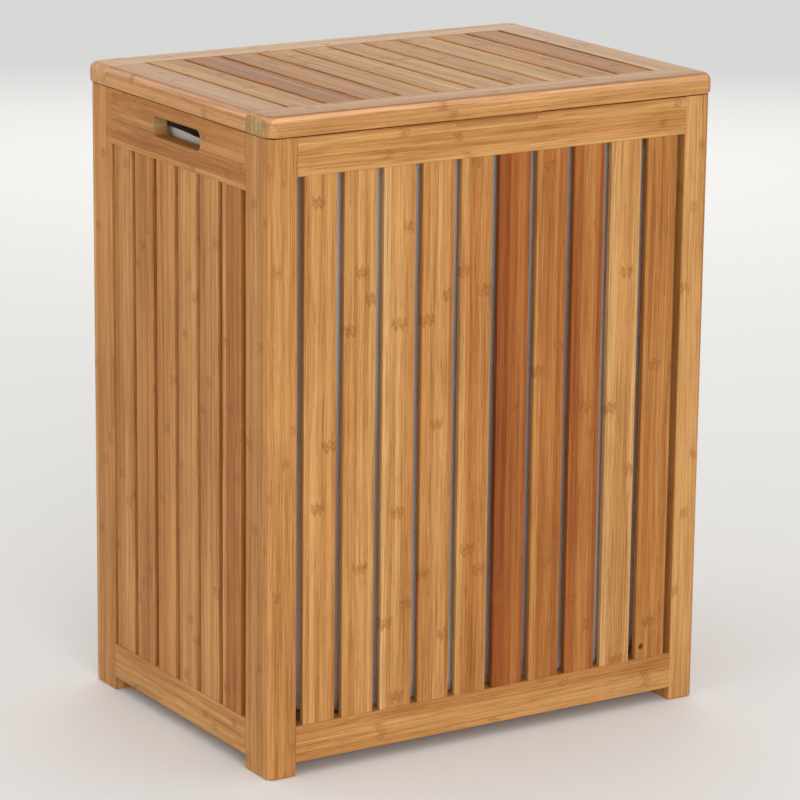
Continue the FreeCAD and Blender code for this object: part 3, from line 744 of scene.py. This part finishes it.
def hang_bag(bag, pinned):
    """Lets the cloth settle under its own weight, with its rim held and the boards round it."""
    bag.vertex_groups.new(name="rim").add(pinned, 1.0, "REPLACE")
    boards = boards_round_bag()
    boards.modifiers.new("stop", "COLLISION")
    boards.collision.thickness_outer = 0.0006
    boards.collision.thickness_inner = 0.002
    boards.collision.cloth_friction = 4.0
    cloth = bag.modifiers.new("hanging", "CLOTH")
    stuff = cloth.settings
    stuff.quality = 5
    stuff.mass = 0.25
    stuff.air_damping = 4.0
    stuff.tension_stiffness = stuff.compression_stiffness = 15.0
    stuff.shear_stiffness = 4.0
    stuff.bending_stiffness = 0.35
    stuff.tension_damping = stuff.compression_damping = stuff.shear_damping = 8.0
    stuff.shrink_min = stuff.shrink_max = -0.03
    stuff.vertex_group_mass = "rim"
    cloth.collision_settings.distance_min = 0.0008
    cloth.collision_settings.collision_quality = 2
    scene = bpy.context.scene
    cloth.point_cache.frame_start = 1
    cloth.point_cache.frame_end = SETTLING
    for moment in range(1, SETTLING + 1):
        scene.frame_set(moment)
    hung = bag.evaluated_get(bpy.context.evaluated_depsgraph_get())
    places = [vertex.co.copy() for vertex in hung.data.vertices]
    bag.modifiers.remove(cloth)
    bag.vertex_groups.clear()
    for vertex, place in zip(bag.data.vertices, places):
        vertex.co = place
    bpy.data.objects.remove(boards)
    scene.frame_set(1)


def bag_part(bag, name, panel):
    """One cut piece of the hung bag: its wall, 0, or its base, 1."""
    bm = bmesh.new()
    bm.from_mesh(bag.data)
    layer = bm.faces.layers.int["panel"]
    others = [face for face in bm.faces if face[layer] != panel]
    bmesh.ops.delete(bm, geom=others, context="FACES")
    part = finished(name, bm, True)
    rounder = part.modifiers.new("finer_folds", "SUBSURF")
    rounder.levels = rounder.render_levels = 1
    thickness = part.modifiers.new("cloth_thickness", "SOLIDIFY")
    thickness.thickness = CLOTH_THICKNESS
    thickness.offset = -1.0
    return part


def finished(name, bm, smooth=False):
    """The object that a bmesh makes."""
    mesh = bpy.data.meshes.new(name)
    for face in bm.faces:
        face.smooth = smooth
    bm.to_mesh(mesh)
    bm.free()
    made = bpy.data.objects.new(name, mesh)
    bpy.context.scene.collection.objects.link(made)
    return made


def sew_hem_stitches():
    """A row of short stitches round the hem, standing half out of the cloth."""
    bm = bmesh.new()
    count = round(BAG_GIRTH / 0.0042)
    ring_height = BAG_RIM - HEM_DEPTH + 0.004
    for number in range(count):
        start = around_bag(number / count, 0.0, RIM_CORNER)
        end = around_bag((number + 0.75) / count, 0.0, RIM_CORNER)
        middle = (start + end) / 2
        turn = math.atan2(end.y - start.y, end.x - start.x)
        place = Matrix.Translation((*middle, ring_height + rim_wave(middle)))
        place = place @ Matrix.Rotation(turn, 4, "Z") @ Matrix.Diagonal((0.0031, 0.0008, 0.0007, 1.0))
        bmesh.ops.create_uvsphere(bm, u_segments=6, v_segments=4, radius=0.5, matrix=place)
    return finished("bag_hem_stitches", bm, True)


def sew_loop_tapes():
    """Soft tapes on the hem that press on to the hook tapes of the front and back rails."""
    bm = bmesh.new()
    for side in (-1, 1):
        for middle in (-0.115, 0.115):
            place = Matrix.Translation((middle, side * (BAG_HALF_DEPTH + 0.0001), 0.5795))
            place = place @ Matrix.Diagonal((0.096, 0.0007, 0.012, 1.0))
            bmesh.ops.create_cube(bm, size=1.0, matrix=place)
    bmesh.ops.bevel(bm, geom=list(bm.edges), offset=0.0002, affect="EDGES", segments=1, profile=0.5,
                    material=-1)
    return finished("bag_loop_tapes", bm)


def cotton(name, colour, other, thread):
    """Plain woven cotton, on the cloth's own flat measure."""
    material, tree, shader = new_material(name)
    place = add(tree, "UVMap", uv_map="cloth").outputs[0]
    woven = placed(tree, WEAVE, {"Place": place, "Thread": thread})
    cloud = noise_of(tree, place, (14, 14, 14), 3.0, 0.6)
    # Random tone of threads and clouds, with the weave's painted shade in its dips.
    shade = maths(tree, "MULTIPLY_ADD", woven["Shade"], 0.55, maths(tree, "MULTIPLY", cloud, 0.45))
    feed(tree, shader.inputs["Base Color"], mixed(tree, shade, linear(other), linear(colour)))
    feed(tree, shader.inputs["Roughness"], maths(tree, "MULTIPLY_ADD", woven["Shade"], -0.1, 0.95))
    crease = noise_of(tree, place, (60, 26, 40), 3.0, 0.55)
    height = maths(tree, "MULTIPLY", woven["Height"], 0.00016)
    height = maths(tree, "MULTIPLY_ADD", crease, 0.0007, height)
    feed(tree, shader.inputs["Normal"], add(tree, "Bump", {"Distance": 1.0, "Height": height}).outputs[0])
    shader.inputs["Specular IOR Level"].default_value = 0.25
    shader.inputs["Sheen Weight"].default_value = 0.12
    return material


def make_bag():
    bag, pinned = sew_bag()
    hang_bag(bag, pinned)
    wall, base = bag_part(bag, "bag_wall", 0), bag_part(bag, "bag_base", 1)
    bpy.data.objects.remove(bag)
    stitches, tapes = sew_hem_stitches(), sew_loop_tapes()
    canvas = cotton("bag_cotton", (251, 244, 239), (233, 223, 216), 0.0009)
    wall.data.materials.append(canvas)
    base.data.materials.append(canvas)
    stitches.data.materials.append(plain_stuff("bag_thread", (240, 234, 226), (222, 214, 204), 0.7, 2500,
                                               0.00004))
    tapes.data.materials.append(plain_stuff("loop_tape_nylon", (228, 224, 216), (196, 192, 184), 0.85,
                                            1800, 0.0003))
    for piece in (wall, base, stitches, tapes):
        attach(piece, "hamper")
    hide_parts("liner")


# ---------- stage, light and camera ----------

def make_stage():
    mesh = bpy.data.meshes.new("studio_floor")
    bm = bmesh.new()
    bmesh.ops.create_grid(bm, x_segments=1, y_segments=1, size=30.0)
    bm.to_mesh(mesh)
    bm.free()
    floor = bpy.data.objects.new("studio_floor", mesh)
    bpy.context.scene.collection.objects.link(floor)
    material, tree, shader = new_material("studio_floor")
    shader.inputs["Base Color"].default_value = linear((250, 250, 249))
    shader.inputs["Roughness"].default_value = 0.9
    mesh.materials.append(material)


def area_light(name, size, power, where, target, colour=(1.0, 1.0, 1.0)):
    light = bpy.data.lights.new(name, "AREA")
    light.color = colour
    light.shape = "RECTANGLE"
    light.size, light.size_y = size
    light.energy = power
    holder = bpy.data.objects.new(name, light)
    holder.location = where
    holder.rotation_euler = (Vector(target) - Vector(where)).to_track_quat("-Z", "Y").to_euler()
    bpy.context.scene.collection.objects.link(holder)


def light_studio():
    world = bpy.data.worlds.new("studio")
    bpy.context.scene.world = world
    world.use_nodes = True
    background = world.node_tree.nodes["Background"]
    background.inputs["Color"].default_value = (1.0, 1.0, 1.0, 1.0)
    background.inputs["Strength"].default_value = 0.7
    middle = (0, 0, 0.35)
    area_light("key_light", (2.4, 1.8), 74, (-1.3, -4.25, 1.2), middle)
    area_light("fill_light", (1.6, 1.4), 9, (-3.0, -0.8, 0.8), middle)
    area_light("back_light", (2.4, 1.2), 15, (1.75, 2.8, 1.45), (0, 0, 0.6), (1.0, 0.92, 0.82))
    bpy.context.scene.view_settings.view_transform = "Standard"


def make_camera():
    lens = bpy.data.cameras.new("camera")
    lens.sensor_width = 36.0
    lens.lens = 172.06
    lens.clip_end = 100.0
    camera = bpy.data.objects.new("camera", lens)
    camera.location = (-1.9476, -3.1119, 1.2666)
    azimuth, elevation, roll = math.radians(-32.105), math.radians(14.748), math.radians(0.619)
    level = Euler((math.pi / 2 - elevation, 0, azimuth)).to_matrix()
    camera.rotation_euler = (level @ Matrix.Rotation(roll, 3, "Z")).to_euler()
    bpy.context.scene.collection.objects.link(camera)
    bpy.context.scene.camera = camera


finish_walls()
finish_frame()
finish_lid()
finish_small_parts()
make_bag()
make_stage()
light_studio()
make_camera()
